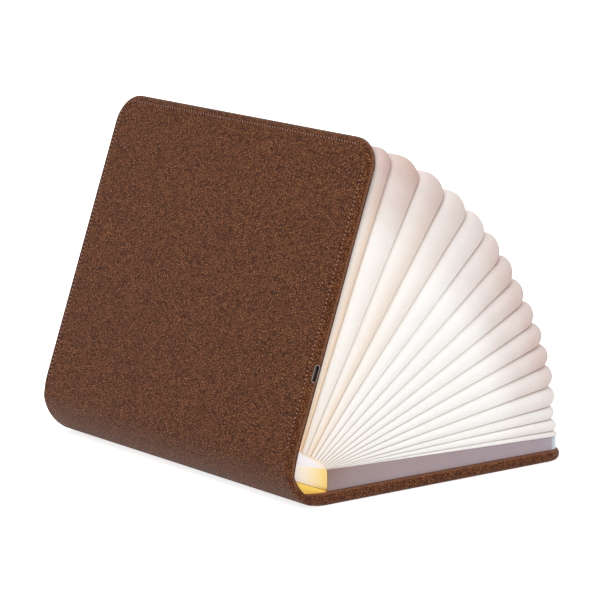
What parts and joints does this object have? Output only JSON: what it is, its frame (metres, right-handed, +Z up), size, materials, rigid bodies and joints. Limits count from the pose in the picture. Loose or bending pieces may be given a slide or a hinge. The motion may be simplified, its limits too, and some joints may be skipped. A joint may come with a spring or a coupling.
{
  "type": "folding book lamp",
  "caption": "Book-shaped lamp: leather covers hinged at a lit spine, with a pleated translucent paper bellows that fans out between them and a battery tray inside the back cover.",
  "frame": {"origin": "centre of the flat outer face of the back cover, on which the lamp lies", "axes": "+X from the spine to the fore-edge of the back cover, +Y from tail to head along the spine, +Z up from the face it lies on"},
  "size_m": [0.1776, 0.215, 0.175],
  "materials": {
    "leather": "fine pebbled grain, satin",
    "lining": "matt",
    "board": "matt",
    "steel": "plated",
    "tray_plastic": "matt moulded",
    "cell": "foil pouch",
    "foam": "closed-cell pad",
    "channel": "matt",
    "circuit": "solder mask",
    "emitter": "clear resin over phosphor",
    "lens": "frosted",
    "paper": "translucent fibrous sheet",
    "flat_cable": "polyimide film",
    "socket_metal": "bright",
    "black_plastic": "moulded"
  },
  "bodies": {
    "back_cover": {"back_board": "board", "back_leather": "leather", "back_lining": "lining", "back_magnets": "steel", "switch_magnet": "steel", "battery_tray": "tray_plastic", "tray_lid": "tray_plastic", "tray_screws": "steel", "battery_cell": "cell", "battery_pad": "foam", "page_lobe_01": "paper"},
    "spine": {"spine_leather": "leather", "spine_board": "board", "led_channel": "channel", "led_strip": "circuit", "led_emitters": "emitter", "led_diffuser": "lens", "gusset_tail": "paper", "gusset_head": "paper", "ribbon_back": "flat_cable", "ribbon_front": "flat_cable"},
    "front_cover": {"front_board": "board", "front_leather": "leather", "front_lining": "lining", "front_magnets": "steel", "page_plate": "lining", "control_board": "circuit", "board_parts": "black_plastic", "lid_switch": "black_plastic", "socket_shell": "socket_metal", "socket_tongue": "black_plastic", "page_lobe_15": "paper"},
    "page_02": {"page_lobe_02": "paper"},
    "page_03": {"page_lobe_03": "paper"},
    "page_04": {"page_lobe_04": "paper"},
    "page_05": {"page_lobe_05": "paper"},
    "page_06": {"page_lobe_06": "paper"},
    "page_07": {"page_lobe_07": "paper"},
    "page_08": {"page_lobe_08": "paper"},
    "page_09": {"page_lobe_09": "paper"},
    "page_10": {"page_lobe_10": "paper"},
    "page_11": {"page_lobe_11": "paper"},
    "page_12": {"page_lobe_12": "paper"},
    "page_13": {"page_lobe_13": "paper"},
    "page_14": {"page_lobe_14": "paper"}
  },
  "joints": [
    {"name": "back_hinge", "type": "hinge", "parent": "back_cover", "child": "spine", "pos_m": [-0.0805, 0, 0.001], "axis": [0, -1, 0], "range_deg": [-35.15, 144.85], "deforming": ["gusset_tail", "gusset_head", "ribbon_back", "ribbon_front", "page_lobe_01", "page_lobe_02", "page_lobe_03", "page_lobe_04", "page_lobe_05", "page_lobe_06", "page_lobe_07", "page_lobe_08", "page_lobe_09", "page_lobe_10", "page_lobe_11", "page_lobe_12", "page_lobe_13", "page_lobe_14", "page_lobe_15"]},
    {"name": "front_hinge", "type": "hinge", "parent": "spine", "child": "front_cover", "pos_m": [-0.09662, 0, 0.02389], "axis": [0, -1, 0], "range_deg": [-35.25, 144.95]},
    {"name": "page_02_turn", "type": "hinge", "parent": "back_cover", "child": "page_02", "pos_m": [-0.0805, 0, 0.001], "axis": [0, -1, 0], "range_deg": [-2.59, 10.37]},
    {"name": "page_03_turn", "type": "hinge", "parent": "back_cover", "child": "page_03", "pos_m": [-0.0805, 0, 0.001], "axis": [0, -1, 0], "range_deg": [-5.32, 21.62]},
    {"name": "page_04_turn", "type": "hinge", "parent": "back_cover", "child": "page_04", "pos_m": [-0.0805, 0, 0.001], "axis": [0, -1, 0], "range_deg": [-8.69, 35.5]},
    {"name": "page_05_turn", "type": "hinge", "parent": "back_cover", "child": "page_05", "pos_m": [-0.0805, 0, 0.001], "axis": [0, -1, 0], "range_deg": [-12.59, 51.55]},
    {"name": "page_06_turn", "type": "hinge", "parent": "back_cover", "child": "page_06", "pos_m": [-0.0805, 0, 0.001], "axis": [0, -1, 0], "range_deg": [-16.94, 69.51]},
    {"name": "page_07_turn", "type": "hinge", "parent": "back_cover", "child": "page_07", "pos_m": [-0.0805, 0, 0.001], "axis": [0, -1, 0], "range_deg": [-21.72, 89.2]},
    {"name": "page_08_turn", "type": "hinge", "parent": "back_cover", "child": "page_08", "pos_m": [-0.0805, 0, 0.001], "axis": [0, -1, 0], "range_deg": [-26.88, 110.48]},
    {"name": "page_09_turn", "type": "hinge", "parent": "back_cover", "child": "page_09", "pos_m": [-0.0805, 0, 0.001], "axis": [0, -1, 0], "range_deg": [-32.4, 133.22]},
    {"name": "page_10_turn", "type": "hinge", "parent": "spine", "child": "page_10", "pos_m": [-0.09662, 0, 0.02389], "axis": [0, -1, 0], "range_deg": [-3.11, 12.5]},
    {"name": "page_11_turn", "type": "hinge", "parent": "spine", "child": "page_11", "pos_m": [-0.09662, 0, 0.02389], "axis": [0, -1, 0], "range_deg": [-9.28, 37.93]},
    {"name": "page_12_turn", "type": "hinge", "parent": "spine", "child": "page_12", "pos_m": [-0.09662, 0, 0.02389], "axis": [0, -1, 0], "range_deg": [-15.76, 64.62]},
    {"name": "page_13_turn", "type": "hinge", "parent": "spine", "child": "page_13", "pos_m": [-0.09662, 0, 0.02389], "axis": [0, -1, 0], "range_deg": [-22.52, 92.49]},
    {"name": "page_14_turn", "type": "hinge", "parent": "spine", "child": "page_14", "pos_m": [-0.09662, 0, 0.02389], "axis": [0, -1, 0], "range_deg": [-29.56, 121.5]}
  ],
  "couplings": [
    {"joint": "front_hinge", "follows": "back_hinge", "ratio": 1},
    {"joint": "page_02_turn", "follows": "back_hinge", "ratio": 0.0709},
    {"joint": "page_03_turn", "follows": "back_hinge", "ratio": 0.1486},
    {"joint": "page_04_turn", "follows": "back_hinge", "ratio": 0.2444},
    {"joint": "page_05_turn", "follows": "back_hinge", "ratio": 0.3552},
    {"joint": "page_06_turn", "follows": "back_hinge", "ratio": 0.4792},
    {"joint": "page_07_turn", "follows": "back_hinge", "ratio": 0.6151},
    {"joint": "page_08_turn", "follows": "back_hinge", "ratio": 0.762},
    {"joint": "page_09_turn", "follows": "back_hinge", "ratio": 0.919},
    {"joint": "page_10_turn", "follows": "back_hinge", "ratio": 0.0856},
    {"joint": "page_11_turn", "follows": "back_hinge", "ratio": 0.2612},
    {"joint": "page_12_turn", "follows": "back_hinge", "ratio": 0.4454},
    {"joint": "page_13_turn", "follows": "back_hinge", "ratio": 0.6378},
    {"joint": "page_14_turn", "follows": "back_hinge", "ratio": 0.8381}
  ]
}
